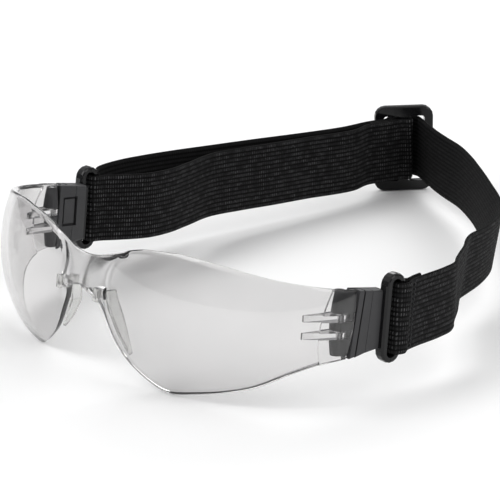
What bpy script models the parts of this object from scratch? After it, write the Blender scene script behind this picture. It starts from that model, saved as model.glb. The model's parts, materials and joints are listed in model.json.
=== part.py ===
"""Wraparound safety spectacles with hinged side pieces and an elastic head strap.

Lengths are in millimetres until a mesh is made, which turns them into metres.
The lens, hinges and strap adapters are drawn in the goggles' own frame: X to the wearer's left,
Y from the brow towards the back of the head, Z up, zero at the lowest lens edge. They lean back
by TILT on the table. The elastic and its slider are drawn in the table's frame.
"""
import math

import bpy
from mathutils import Matrix, Vector

MM = 0.001

# Driving sizes of the lens
HALF_WIDTH = 69.0          # centre line to the outside of the lens at the hinge
LOBE_FRONT_X = 19.3        # centre line to the foremost line of each lobe
LENS_DEPTH = 41.0          # foremost line to the lens end, front to back
LENS_END_ANGLE = 1.58      # how far round its plan curve the lens runs, in radians
LENS_END_SLANT = 0.046     # the end edge's lean, in radians of plan curve over SLANT_HEIGHT
SLANT_HEIGHT = 20.0
BULGE_RADIUS = 42.8        # radius of the lobes seen from the side
BULGE_HEIGHT = 27.0        # height of the foremost point of that bulge
LENS_T = 2.2
TOP_EDGE = [(0, 34.7), (5, 35.5), (10, 37.0), (14, 38.2), (18, 39.6), (23, 40.9), (30, 41.8),
            (37.3, 42.3), (49.6, 41.3), (60.9, 39.2), (67.3, 37.7), (69.0, 36.6)]
LOWER_EDGE = [(0, 25.6), (3.1, 25.0), (6.4, 22.9), (7.9, 20.4), (10.2, 16.1), (12.4, 12.3),
              (15.4, 8.6), (19.3, 5.4), (24, 2.8), (28.5, 1.1), (32.5, 0.8), (41.8, 2.6), (51, 4.9),
              (58.5, 7.9), (64.4, 12.7), (67.9, 16.0), (69.0, 17.4)]
# The bridge is a saddle let in between the lobes: at each height Z its half width, and how far its
# middle is set back from the lobes' own surface
CREASE_X = [(25.6, 10.6), (28.3, 9.8), (31, 10.0), (34.1, 11.5), (37, 14.4), (40, 18.6)]
BRIDGE_SET = [(18, 0.0), (20.4, -0.6), (23, -2.1), (25.6, -4.0), (34.7, -1.8), (37, 0.4), (38.2, 3.4),
              (40, 5.0)]
POCKET_ANGLE = 1.312       # plan angle where the hinge pocket in the inner wall begins
POCKET_CURVE = 0.077       # how far its front edge curves back, over POCKET_SPAN in height
POCKET_SPAN = 12.0
POCKET_MID_Z = 24.0
POCKET_SKIN = 0.85         # lens wall left outside the pocket
LENS_COLUMNS = 40          # mesh columns in each half
LENS_ROWS = 9
REST_FLAT = 0.3            # depth of the flats under the lobes

# Hinge
PIN_X = HALF_WIDTH - 3.7
PIN_Y = LENS_DEPTH - 3.6
PIN_R = 0.7
FIT_GAP = 0.3              # clearance between neighbouring pieces
LUG_T = 1.8                # thickness of each clear lug
LUG_R = 2.3                # outside radius of a lug's eye
LUG_LOW_Z = 23.2           # underside of the lower lug
LUG_HIGH_Z = 28.0          # underside of the upper lug
LUG_FRONT_Y = LENS_DEPTH - 14.6  # where the lugs start as ribs on the lens wall
RIB_X = PIN_X - 2.4        # inner edge of the ribs at their front
BARREL_R = 2.3             # radius of the knuckles at mid height
BARREL_END_R = 1.5         # and at the top and bottom
WEB_X = PIN_X + 0.6        # inner side of the webs from the knuckles to the flange
BARREL_LOW_Z = 18.2
BARREL_TOP_Z = 36.3

# Side piece: hinge block, then adapter and strap ring
ARM_OUT_X = HALF_WIDTH
ARM_T = 4.4
CHEEK_T = 0.95             # the adapter's inner cheek, which reaches forward past the flange
CHEEK_FRONT_Y = LENS_DEPTH - 0.7
ARM_TOP_Z = 36.5           # at the lens end
ARM_LOW_Z = 17.4
TAPER_TOP = 0.7            # how much the top draws in towards the ring
TAPER_LOW = 2.0            # and the underside
FLANGE_Y = LENS_DEPTH + 0.5  # front of the hinge block's flange at its top
FLANGE_SLANT = 0.095       # lean of the panel joints, Y per Z
FLANGE_T = 1.7
PANEL_GAP = 0.4            # dark groove between hinge block and adapter
PANEL_EDGE = 0.1           # bevel of the panels' edges
TRIM_LINE_Y = FLANGE_Y + 4.7  # fine moulded line round the adapter
TRIM_LINE_D = 0.15
TONGUE_X = ARM_OUT_X - ARM_T + CHEEK_T + FIT_GAP
TONGUE_T = 1.6
TONGUE_LOW_Z = 20.8
TONGUE_TOP_Z = 33.9
TONGUE_END_Y = FLANGE_Y + 6.6
WINDOW_LOW_Z = 24.0
WINDOW_TOP_Z = 32.8
WINDOW_FRONT_Y = CHEEK_FRONT_Y + 1.3
WINDOW_BACK_Y = CHEEK_FRONT_Y + 6.4
LATCH_GAP = 0.7            # between the latch pad and the window's edges
RING_Y = FLANGE_Y + 8.3    # front face of the strap ring
RING_OUT_X = ARM_OUT_X + 1.6
RING_T = 3.2
RING_LOW_Z = 15.3
RING_TOP_Z = 40.6
RING_CORNER = 3.5
RING_BAR = 2.1             # width of the ring's upright bars
RING_END_BAR = 1.9         # and of its top and bottom
RING_SLOT = 2.6
RING_EDGE = 0.6            # rounding of the ring's edges

# Nose pads
PAD_T = 1.3
PAD_DEPTH = 3.7            # front to back at its widest
PAD_FOOT_DEPTH = 0.9
PAD_BACK = 2.8             # from the lens's outer face to the pad's front edge
PAD_STATIONS = 11
TAB_X = 8.3                # the tab that clips through a slot in the lens
TAB_Z = 25.2
TAB_W = 1.5
TAB_H = 2.6
TAB_LIP = 0.7

# Elastic and slider
STRAP_W = 20.0
STRAP_T = 1.2
STRAP_GAP = 0.35           # clearance between layers, and between a layer and a bar
SPLIT_GAP = 0.3            # clearance between neighbouring lengths of the elastic
SLIDER_LENGTH = 19.0       # along the strap
SLIDER_HEIGHT = 28.0
SLIDER_T = 2.6
SLIDER_END_BAR = 2.8
SLIDER_MID_BAR = 2.6
SLIDER_SLOT_H = 21.6
SLIDER_CORNER = 3.4
SLIDER_AT = (-81.0, 192.9)  # where it stands on the table
SLIDER_YAW = math.radians(58.0)  # direction of its length, from the far end bar to the near one
STRAP_STEP = 5.0

# On the table
TILT = math.radians(5.95)

BLACK = (0.012, 0.012, 0.013)
DARK_GREY = (0.035, 0.035, 0.037)


# ---------------------------------------------------------------- helpers
def clear_scene():
    for old in list(bpy.data.objects):
        bpy.data.objects.remove(old, do_unlink=True)


def material(name, colour, roughness, alpha=1.0, transmission=0.0):
    mat = bpy.data.materials.new(name)
    mat.use_nodes = True
    shader = mat.node_tree.nodes["Principled BSDF"]
    shader.inputs["Base Color"].default_value = (*colour, 1.0)
    shader.inputs["Roughness"].default_value = roughness
    shader.inputs["Metallic"].default_value = 0.0
    shader.inputs["Alpha"].default_value = alpha
    shader.inputs["Transmission Weight"].default_value = transmission
    return mat


def mesh_object(name, points, faces, mat, parent=None, origin=(0, 0, 0)):
    """An object from points in millimetres, its origin at the given point of the parent's frame."""
    mesh = bpy.data.meshes.new(name)
    mesh.from_pydata([[(p[k] - origin[k]) * MM for k in range(3)] for p in points], [], faces)
    mesh.update()
    obj = bpy.data.objects.new(name, mesh)
    bpy.context.scene.collection.objects.link(obj)
    obj.parent = parent
    obj.location = [v * MM for v in origin]
    if mat:
        mesh.materials.append(mat)
    return obj


def empty(name, parent=None, origin=(0, 0, 0)):
    obj = bpy.data.objects.new(name, None)
    bpy.context.scene.collection.objects.link(obj)
    obj.parent = parent
    obj.location = [v * MM for v in origin]
    return obj


def loft_mesh(loops, ring=False):
    """Points and faces of a skin over equal loops: closed on itself, or capped at both ends."""
    count = len(loops[0])
    points = [p for loop in loops for p in loop]
    faces = []
    spans = len(loops) if ring else len(loops) - 1
    for k in range(spans):
        a, b = k * count, (k + 1) % len(loops) * count
        for i in range(count):
            j = (i + 1) % count
            faces.append((a + i, a + j, b + j, b + i))
    if not ring:
        faces.append(tuple(reversed(range(count))))
        faces.append(tuple(range((len(loops) - 1) * count, len(loops) * count)))
    return points, faces


def signed_volume(points, faces):
    total = 0.0
    for face in faces:
        a = Vector(points[face[0]])
        for i in range(1, len(face) - 1):
            total += a.dot(Vector(points[face[i]]).cross(Vector(points[face[i + 1]])))
    return total


def solid(name, loops, mat, parent=None, origin=(0, 0, 0), ring=False):
    points, faces = loft_mesh(loops, ring)
    if signed_volume(points, faces) < 0:
        faces = [tuple(reversed(face)) for face in faces]
    return mesh_object(name, points, faces, mat, parent, origin)


def box_loops(low, high):
    (x0, y0, z0), (x1, y1, z1) = low, high
    return [[(x0, y0, z), (x1, y0, z), (x1, y1, z), (x0, y1, z)] for z in (z0, z1)]


def cylinder_loops(x, y, radius, z0, z1, count=16):
    turns = [2 * math.pi * i / count for i in range(count)]
    return [[(x + radius * math.cos(t), y + radius * math.sin(t), z) for t in turns] for z in (z0, z1)]


def combine(obj, helper, operation):
    """Joins a hidden helper to an object, or cuts the object with it."""
    helper.hide_render = True
    helper.display_type = "WIRE"
    step = obj.modifiers.new(helper.name, "BOOLEAN")
    step.operation = operation
    step.solver = "EXACT"
    step.object = helper


def shade(obj, degrees=35.0):
    obj.data.shade_smooth()
    obj.data.set_sharp_from_angle(angle=math.radians(degrees))


def through(knots, x):
    """A smooth curve through the knots (x, value), read at x."""
    last = len(knots) - 1
    if x <= knots[0][0] or x >= knots[last][0]:
        return knots[0][1] if x <= knots[0][0] else knots[last][1]
    k = next((i for i in range(last) if x <= knots[i + 1][0]), last - 1)

    def slope(i):
        lower, upper = max(i - 1, 0), min(i + 1, last)
        return (knots[upper][1] - knots[lower][1]) / (knots[upper][0] - knots[lower][0])
    (x0, v0), (x1, v1) = knots[k], knots[k + 1]
    width = x1 - x0
    u = min((x - x0) / width, 1.0)
    return (v0 * (1 + 2 * u) * (1 - u) ** 2 + slope(k) * width * u * (1 - u) ** 2
            + v1 * u * u * (3 - 2 * u) + slope(k + 1) * width * u * u * (u - 1))


def rounded_rectangle(width, height, radius, per_corner=5):
    """Points round a rectangle centred on zero, anticlockwise."""
    points = []
    for quarter, (sx, sy) in enumerate(((1, 1), (-1, 1), (-1, -1), (1, -1))):
        for i in range(per_corner):
            t = math.pi / 2 * (quarter + i / (per_corner - 1))
            points.append((sx * (width / 2 - radius) + radius * math.cos(t),
                           sy * (height / 2 - radius) + radius * math.sin(t)))
    return points


# ---------------------------------------------------------------- lens
PLAN_A = (HALF_WIDTH - LOBE_FRONT_X) / math.sin(LENS_END_ANGLE)
PLAN_B = LENS_DEPTH / (1 - math.cos(LENS_END_ANGLE))
CENTRE_ANGLE = -math.asin(LOBE_FRONT_X / PLAN_A)


def plan_angle(x):
    return math.asin(max(-1.0, min(1.0, (x - LOBE_FRONT_X) / PLAN_A)))


def plan_x(t):
    return LOBE_FRONT_X + PLAN_A * math.sin(t)


def edge_knots(edge):
    """An edge's knots (plan angle, height), its X values spread to the lens's real half width."""
    spread = HALF_WIDTH / edge[-1][0]
    knots = [(plan_angle(x * spread), z) for x, z in edge]
    knots[-1] = (LENS_END_ANGLE, edge[-1][1])
    return knots


TOP_KNOTS = edge_knots(TOP_EDGE)
LOWER_KNOTS = edge_knots(LOWER_EDGE)


def bulge(z):
    return BULGE_RADIUS - math.sqrt(BULGE_RADIUS ** 2 - (z - BULGE_HEIGHT) ** 2)


def outer_point(t, z):
    """A point of the outer face in the half at +X."""
    x, y = plan_x(t), PLAN_B * (1 - math.cos(t))
    if t > 0:
        nx, ny = math.sin(t) / PLAN_A, -math.cos(t) / PLAN_B
        length = math.hypot(nx, ny)
        return Vector((x - nx / length * bulge(z), y - ny / length * bulge(z), z))
    share = max(0.0, 1 - (x / through(CREASE_X, z)) ** 2)
    return Vector((x, y + bulge(z) + through(BRIDGE_SET, z) * share, z))


def column_angles():
    """Plan angles of the mesh columns in one half, crowding towards the nose, with their wall."""
    angles = []
    for k in range(LENS_COLUMNS + 1):
        part = k / LENS_COLUMNS
        t = CENTRE_ANGLE + (LENS_END_ANGLE - CENTRE_ANGLE) * (0.55 * part + 0.45 * part ** 2)
        if abs(t - POCKET_ANGLE - POCKET_CURVE / 2) > POCKET_CURVE * 0.75:
            angles.append((t, POCKET_SKIN if t > POCKET_ANGLE else LENS_T, 0.0))
    angles += [(POCKET_ANGLE - 0.002, LENS_T, POCKET_CURVE), (POCKET_ANGLE, POCKET_SKIN, POCKET_CURVE)]
    return sorted(angles)


def lens_column(side, t, curve):
    """Outer points of one mesh column, bottom to top."""
    share = (t - CENTRE_ANGLE) / (LENS_END_ANGLE - CENTRE_ANGLE)

    def bent(z):
        slant = LENS_END_SLANT * (z - TOP_EDGE[-1][1]) / SLANT_HEIGHT * share ** 12
        return slant + curve * ((z - POCKET_MID_Z) / POCKET_SPAN) ** 2
    low = through(LOWER_KNOTS, t + bent(through(LOWER_KNOTS, t)))
    high = through(TOP_KNOTS, t + bent(through(TOP_KNOTS, t)))
    column = []
    for row in range(LENS_ROWS + 1):
        z = low + (high - low) * row / LENS_ROWS
        p = outer_point(t + bent(z), z)
        column.append(Vector((side * p.x, p.y, p.z)))
    return column


def inner_columns(columns, walls):
    """The inner face: the outer one moved in by the wall's thickness along its normals."""
    inner = []
    for i, column in enumerate(columns):
        before, after = columns[max(i - 1, 0)], columns[min(i + 1, len(columns) - 1)]
        if (after[0] - column[0]).length < 0.5 and i + 2 < len(columns):
            after = columns[i + 2]
        if (column[0] - before[0]).length < 0.5 and i > 1:
            before = columns[i - 2]
        moved = []
        for j, p in enumerate(column):
            across = after[j] - before[j]
            up = column[min(j + 1, LENS_ROWS)] - column[max(j - 1, 0)]
            moved.append(p - across.cross(up).normalized() * walls[i])
        inner.append(moved)
    return inner


def table_height(p):
    return p[2] * math.cos(TILT) - p[1] * math.sin(TILT)


def flatten_rest(points):
    """Levels the lowest stretch of each lobe's rim, so that the lens stands on real flats."""
    floor = min(table_height(p) for p in points) + REST_FLAT
    for p in points:
        lack = floor - table_height(p)
        if lack > 0:
            p.z += lack / math.cos(TILT)
    return floor


def lug_outline(side):
    """Plan of a lug: a rib from the middle of the lens wall to an eye round the hinge pin."""
    z = (LUG_LOW_Z + LUG_HIGH_Z + LUG_T) / 2
    first = math.acos(1 - LUG_FRONT_Y / PLAN_B)
    last = math.acos(1 - PIN_Y / PLAN_B)
    wall = []
    for i in range(7):
        t = first + (last - first) * i / 6
        p = outer_point(t, z)
        nx, ny = math.sin(t) / PLAN_A, -math.cos(t) / PLAN_B
        length = math.hypot(nx, ny)
        inset = POCKET_SKIN / 2
        wall.append((p.x - nx / length * inset, p.y - ny / length * inset))
    turns = [math.pi * i / 8 for i in range(9)]
    eye = [(PIN_X + LUG_R * math.cos(t), PIN_Y + LUG_R * math.sin(t)) for t in turns[1:]]
    return [(side * x, y) for x, y in wall + eye + [(RIB_X, LUG_FRONT_Y + 0.2)]]


def make_lens(front, clear):
    angles = column_angles()
    halves = [(-1, *a) for a in reversed(angles[1:])] + [(1, *a) for a in angles]
    columns = [lens_column(side, t, curve) for side, t, wall, curve in halves]
    inner = inner_columns(columns, [wall for side, t, wall, curve in halves])
    loops = [outer + list(reversed(back)) for outer, back in zip(columns, inner)]
    floor = flatten_rest([p for loop in loops for p in loop])
    lens = solid("lens", loops, clear, front)
    for side, word in ((1, "left"), (-1, "right")):
        for low, level in ((LUG_LOW_Z, "lower"), (LUG_HIGH_Z, "upper")):
            outline = lug_outline(side)
            lug = solid(f"{word}_{level}_lug", [[(x, y, z) for x, y in outline] for z in (low, low + LUG_T)],
                        clear, front)
            combine(lens, lug, "UNION")
        bore = solid(f"{word}_lug_bore",
                     cylinder_loops(side * PIN_X, PIN_Y, PIN_R + FIT_GAP, LUG_LOW_Z - 2, LUG_HIGH_Z + 4),
                     None, front)
        combine(lens, bore, "DIFFERENCE")
        slot = solid(f"{word}_pad_slot", tab_loops(side, FIT_GAP, -3.0, 6.0), None, front)
        combine(lens, slot, "DIFFERENCE")
    shade(lens, 40)
    return floor


def nose_y(x, z):
    """Depth of the lens's outer face near the nose."""
    return outer_point(plan_angle(x), z).y


def tab_loops(side, clearance, start, stop, drop=0.0):
    """A square bar through the lens beside the bridge, from start to stop behind its outer face."""
    y = nose_y(TAB_X, TAB_Z)
    w, h = TAB_W / 2 + clearance, TAB_H / 2 + clearance
    return mirrored(side, box_loops((TAB_X - w, y + start, TAB_Z - h - drop), (TAB_X + w, y + stop, TAB_Z + h)))


# ---------------------------------------------------------------- nose pads
def pad_line():
    """Points (x, z) of a pad's front edge, from its tab down along the lens's nose edge."""
    line = [(TAB_X, TAB_Z + 0.6), (TAB_X, TAB_Z - 2.2)]
    first_x, last_x = LOWER_EDGE[3][0] + 1.2, LOWER_EDGE[6][0] - 0.2
    for i in range(PAD_STATIONS):
        x = first_x + (last_x - first_x) * i / (PAD_STATIONS - 1)
        line.append((x + 0.4, through(LOWER_KNOTS, plan_angle(x)) + 0.4))
    return line


def make_pad(side, word, front, soft):
    """A curved leaf behind the nose edge, thin across, with a tab clipped through the lens."""
    line = pad_line()
    loops = []
    for i, (x, z) in enumerate(line):
        part = i / (len(line) - 1)
        before, after = line[max(i - 1, 0)], line[min(i + 1, len(line) - 1)]
        run = Vector((after[0] - before[0], after[1] - before[1])).normalized()
        out = Vector((-run.y, run.x))
        depth = PAD_FOOT_DEPTH + (PAD_DEPTH - PAD_FOOT_DEPTH) * math.cos(math.pi / 2 * part)
        y0 = nose_y(x, z) + PAD_BACK + FIT_GAP
        loop = []
        for across, along in ((0, 0.25), (0.3, 0), (0.7, 0), (1, 0.25), (1, depth - 0.25), (0.7, depth),
                              (0.3, depth), (0, depth - 0.25)):
            loop.append((side * (x + out.x * PAD_T * across), y0 + along, z + out.y * PAD_T * across))
        loops.append(loop)
    pad = solid(f"nose_pad_{word}", loops, soft, front)
    tab = solid(f"{word}_pad_tab", tab_loops(side, 0, -FIT_GAP - 0.5, PAD_BACK + 1.5), soft, front)
    combine(pad, tab, "UNION")
    lip = solid(f"{word}_pad_lip", tab_loops(side, 0.2, -FIT_GAP - 0.75, -FIT_GAP - 0.15, TAB_LIP), soft, front)
    combine(pad, lip, "UNION")
    shade(pad, 45)


# ---------------------------------------------------------------- hinge and side piece
def slanted(y, z):
    """Y of a panel joint at height z, for a joint that stands at y at the arm's top."""
    return y + (z - ARM_TOP_Z) * FLANGE_SLANT


def arm_loop(side, y, inset=0.0, lean=1.0, inner_x=ARM_OUT_X - ARM_T):
    """The side piece's cross-section, a tall rounded rectangle, at its joint line y."""
    along = (y - FLANGE_Y) / (RING_Y - FLANGE_Y)
    low, high = ARM_LOW_Z + TAPER_LOW * along, ARM_TOP_Z - TAPER_TOP * along
    outline = rounded_rectangle(ARM_OUT_X - inner_x - 2 * inset, high - low - 2 * inset, 0.6, 4)
    loop = []
    for x, z in outline:
        height = (low + high) / 2 + z
        loop.append((side * ((ARM_OUT_X + inner_x) / 2 + x),
                     y + (height - ARM_TOP_Z) * FLANGE_SLANT * lean, height))
    return loop


def barrel_radius(z):
    middle = (BARREL_LOW_Z + BARREL_TOP_Z) / 2
    reach = (z - middle) / (BARREL_TOP_Z - middle)
    return BARREL_R - (BARREL_R - BARREL_END_R) * reach * reach


def knuckle_loops(side, low, high):
    """A knuckle: round about the pin, with a web running straight back into the flange."""
    loops = []
    for k in range(4):
        z = low + (high - low) * k / 3
        r = barrel_radius(z)
        back = slanted(FLANGE_Y, z) + FLANGE_T / 2
        first = math.acos((WEB_X - PIN_X) / r)
        turns = [first + (2 * math.pi - first) * i / 16 for i in range(17)]
        loop = [(PIN_X + r * math.cos(t), PIN_Y + r * math.sin(t)) for t in turns]
        loop += [(PIN_X + r, back), (WEB_X, back)]
        loops.append([(side * x, y, z) for x, y in loop])
    return loops


def make_hinge_block(side, word, pivot, matte):
    origin = (side * PIN_X, PIN_Y, 0)
    y0, y1 = FLANGE_Y, FLANGE_Y + FLANGE_T
    e = PANEL_EDGE
    flange = [arm_loop(side, y, inset, 1.0, TONGUE_X) for y, inset in ((y0, e), (y0 + e, 0), (y1 - e, 0), (y1, e))]
    block = solid(f"hinge_block_{word}", flange, matte, pivot, origin)
    stack = [(BARREL_LOW_Z, LUG_LOW_Z - FIT_GAP), (LUG_LOW_Z + LUG_T + FIT_GAP, LUG_HIGH_Z - FIT_GAP),
             (LUG_HIGH_Z + LUG_T + FIT_GAP, BARREL_TOP_Z)]
    for number, (low, high) in enumerate(stack):
        knuckle = solid(f"{word}_knuckle_{number}", knuckle_loops(side, low, high), matte,
                        pivot, origin)
        combine(block, knuckle, "UNION")
    tongue = solid(f"{word}_tongue", mirrored(side, box_loops(
        (TONGUE_X, FLANGE_Y + FLANGE_T / 2, TONGUE_LOW_Z), (TONGUE_X + TONGUE_T, TONGUE_END_Y, TONGUE_TOP_Z))),
        matte, pivot, origin)
    combine(block, tongue, "UNION")
    latch = solid(f"{word}_latch", mirrored(side, box_loops(
        (ARM_OUT_X - ARM_T + 0.4, WINDOW_FRONT_Y + LATCH_GAP, WINDOW_LOW_Z + LATCH_GAP),
        (TONGUE_X + 0.5, WINDOW_BACK_Y - LATCH_GAP, WINDOW_TOP_Z - LATCH_GAP))), matte, pivot, origin)
    combine(block, latch, "UNION")
    bore = solid(f"{word}_knuckle_bore", cylinder_loops(side * PIN_X, PIN_Y, PIN_R + FIT_GAP,
                                                        BARREL_LOW_Z - 2, BARREL_TOP_Z + 2),
                 None, pivot, origin)
    combine(block, bore, "DIFFERENCE")
    shade(block)


def mirrored(side, loops):
    return [[(side * x, y, z) for x, y, z in loop] for loop in loops]


def make_pin(side, word, pivot, steel):
    low, high = BARREL_LOW_Z + 0.4, BARREL_TOP_Z - 0.1
    loops = cylinder_loops(side * PIN_X, PIN_Y, PIN_R, low, high)
    pin = solid(f"hinge_pin_{word}", loops, steel, pivot, (side * PIN_X, PIN_Y, 0))
    shade(pin)


def ring_loops(side):
    """The strap ring as a closed skin: round its outside, over its edge, and back round its slot."""
    length = 2 * RING_BAR + RING_SLOT
    height = RING_TOP_Z - RING_LOW_Z
    centre_y, centre_z = RING_Y + length / 2, (RING_LOW_Z + RING_TOP_Z) / 2
    x_in, x_out = RING_OUT_X - RING_T, RING_OUT_X
    e = RING_EDGE
    outer = [(x_in, e), (x_in + 0.3 * e, 0.3 * e), (x_in + e, 0), (x_out - e, 0), (x_out - 0.3 * e, 0.3 * e),
             (x_out, e)]
    loops = []
    for x, inset in outer:
        outline = rounded_rectangle(length - 2 * inset, height - 2 * inset, RING_CORNER - inset)
        loops.append([(side * x, centre_y + a, centre_z + b) for a, b in outline])
    for x, inset in reversed(outer):
        grow = inset * 0.6
        outline = rounded_rectangle(RING_SLOT + 2 * grow, height - 2 * RING_END_BAR + 2 * grow,
                                    RING_SLOT / 2 - 0.1 + grow)
        loops.append([(side * x, centre_y + a, centre_z + b) for a, b in outline])
    return loops


def seat_loops(side):
    """The space outside the inner cheek where the hinge block's flange stands."""
    loops = []
    for z in (ARM_LOW_Z - 3, ARM_TOP_Z + 3):
        back = slanted(FLANGE_Y + FLANGE_T + PANEL_GAP, z)
        x0, x1 = TONGUE_X - FIT_GAP, ARM_OUT_X + 2
        loops.append([(side * x, y, z) for x, y in ((x0, CHEEK_FRONT_Y - 4), (x1, CHEEK_FRONT_Y - 4),
                                                   (x1, back), (x0, back))])
    return loops


def make_adapter(side, word, pivot, matte):
    origin = (side * PIN_X, PIN_Y, 0)
    y0, y1 = CHEEK_FRONT_Y, RING_Y + 0.9
    d = TRIM_LINE_D
    stations = [(y0, PANEL_EDGE, 0.3), (y0 + PANEL_EDGE, 0, 0.3), (TRIM_LINE_Y - d, 0, 0.7),
                (TRIM_LINE_Y, d, 0.7), (TRIM_LINE_Y + d, 0, 0.7), (y1 - 0.3, 0, 0.0), (y1, 0.3, 0.0)]
    loops = [arm_loop(side, y, inset, lean) for y, inset, lean in stations]
    adapter = solid(f"strap_adapter_{word}", loops, matte, pivot, origin)
    step = solid(f"{word}_flange_seat", seat_loops(side), None, pivot, origin)
    combine(adapter, step, "DIFFERENCE")
    ring = solid(f"{word}_ring", ring_loops(side), matte, pivot, origin, ring=True)
    combine(adapter, ring, "UNION")
    cavity = solid(f"{word}_cavity", mirrored(side, box_loops(
        (TONGUE_X - FIT_GAP, FLANGE_Y, TONGUE_LOW_Z - FIT_GAP),
        (TONGUE_X + TONGUE_T + FIT_GAP, TONGUE_END_Y + FIT_GAP, TONGUE_TOP_Z + FIT_GAP))), None, pivot, origin)
    combine(adapter, cavity, "DIFFERENCE")
    window = solid(f"{word}_window", mirrored(side, box_loops(
        (ARM_OUT_X - ARM_T - 1, WINDOW_FRONT_Y, WINDOW_LOW_Z), (TONGUE_X + 0.1, WINDOW_BACK_Y, WINDOW_TOP_Z))),
        None, pivot, origin)
    combine(adapter, window, "DIFFERENCE")
    shade(adapter)


# ---------------------------------------------------------------- slider
SLIDER_RUN = Vector((math.cos(SLIDER_YAW), math.sin(SLIDER_YAW)))
SLIDER_SLOT = (SLIDER_LENGTH - 2 * SLIDER_END_BAR - SLIDER_MID_BAR) / 2


def slider_plan(p, q):
    """Table plan of a slider point: p towards the front of the goggles, q towards the head."""
    x = SLIDER_AT[0] - p * SLIDER_RUN.x + q * SLIDER_RUN.y
    y = SLIDER_AT[1] - p * SLIDER_RUN.y - q * SLIDER_RUN.x
    return x, y


def slider_loops(width, height, corner, levels, p0=0.0):
    loops = []
    for q, inset in levels:
        outline = rounded_rectangle(width - 2 * inset, height - 2 * inset, max(corner - inset, 0.3))
        loops.append([(*slider_plan(p0 + a, q), SLIDER_HEIGHT / 2 + b) for a, b in outline])
    return loops


def make_slider(frame, gloss):
    h, e = SLIDER_T / 2, 0.5
    levels = [(-h, e), (-h + 0.3 * e, 0.3 * e), (-h + e, 0), (h - e, 0), (h - 0.3 * e, 0.3 * e), (h, e)]
    origin = (*SLIDER_AT, SLIDER_HEIGHT / 2)
    slider = solid("slider", slider_loops(SLIDER_LENGTH, SLIDER_HEIGHT, SLIDER_CORNER, levels), gloss,
                   frame, origin)
    for sign, word in ((1, "front"), (-1, "rear")):
        p0 = sign * (SLIDER_MID_BAR + SLIDER_SLOT) / 2
        slot = solid(f"slider_{word}_slot", slider_loops(SLIDER_SLOT, SLIDER_SLOT_H, 1.0,
                                                        [(-h - 1, 0), (h + 1, 0)], p0), None, frame, origin)
        combine(slider, slot, "DIFFERENCE")
    shade(slider)


# ---------------------------------------------------------------- elastic
LAYER = STRAP_T + STRAP_GAP
BAR_CLEAR = STRAP_GAP + STRAP_T / 2
RING_MID_Z = (RING_LOW_Z + RING_TOP_Z) / 2
BAR_FRONT_Y = RING_Y + RING_BAR + RING_SLOT
BAR_BACK_Y = BAR_FRONT_Y + RING_BAR


def to_table(p, floor):
    """A point of the goggles' frame in the table's frame."""
    c, s = math.cos(TILT), math.sin(TILT)
    return p[0], p[1] * c + p[2] * s, p[2] * c - p[1] * s - floor


def ring_plan(side, x, y, floor):
    """Table plan of a point beside a strap ring, at the ring's mid height."""
    px, py, _ = to_table((side * x, y, RING_MID_Z), floor)
    return px, py


def ring_wrap(side, floor):
    """The elastic round a ring's rear bar, from the outer side through the slot to the inner side."""
    x_out, x_in = RING_OUT_X, RING_OUT_X - RING_T
    c, k = BAR_CLEAR, BAR_CLEAR * 0.71
    points = [(x_out + c, BAR_BACK_Y), (x_out + c, BAR_FRONT_Y), (x_out + k, BAR_FRONT_Y - k),
              (x_out, BAR_FRONT_Y - c), (x_in, BAR_FRONT_Y - c), (x_in - k, BAR_FRONT_Y - k),
              (x_in - c, BAR_FRONT_Y), (x_in - c, BAR_BACK_Y)]
    return [ring_plan(side, x, y, floor) for x, y in points]


# The elastic's run between its fastenings, as table plan offsets. Left run: from the left ring's
# rear bar. Back, outer and inner runs: from the slider. Ring runs: from the right ring's rear bar.
LEFT_RUN = [(-1.4, 9.5), (-4.5, 20.4), (-7.5, 27.4), (-12.2, 32.4), (-20.5, 42), (-29, 51.1),
            (-33, 59.1), (-37, 66.6)]
BACK_RUN = [(101.6, -53.4), (95.0, -47.6), (81.5, -38.0), (68.0, -28.9), (53.0, -19.4), (39.5, -12.0),
            (28.5, -7.6), (18.5, -3.2)]
OUTER_RUN = [(0.6, -25.9), (0.7, -45.4), (0.0, -63.4)]
OUTER_RING_RUN = [(-12.3, 53.1), (-12.5, 39.9), (-12, 28.1), (-10.7, 17.6), (-7.1, 7.1)]
INNER_RING_RUN = [(4.6, 7), (7, 16.4), (5.9, 24.6), (2, 34.9), (-3.7, 49.1)]
INNER_RUN = [(7.3, -73.0), (7.0, -60.0), (6.2, -46.4), (5.3, -25.0)]
# Left loop beside the ring's rear bar, in the goggles' frame: offsets from the bar's back face
LOOP_OUT = [(0.7, 0.9), (-0.3, 1.9), (-1.05, 3.1), (-2.2, 6.0)]
LOOP_TAIL = [(-5.2, 9.5), (-4.15, 6.2), (-3.15, 3.8), (-2.75, 2.6), (-3.4, 1.5)]


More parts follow.
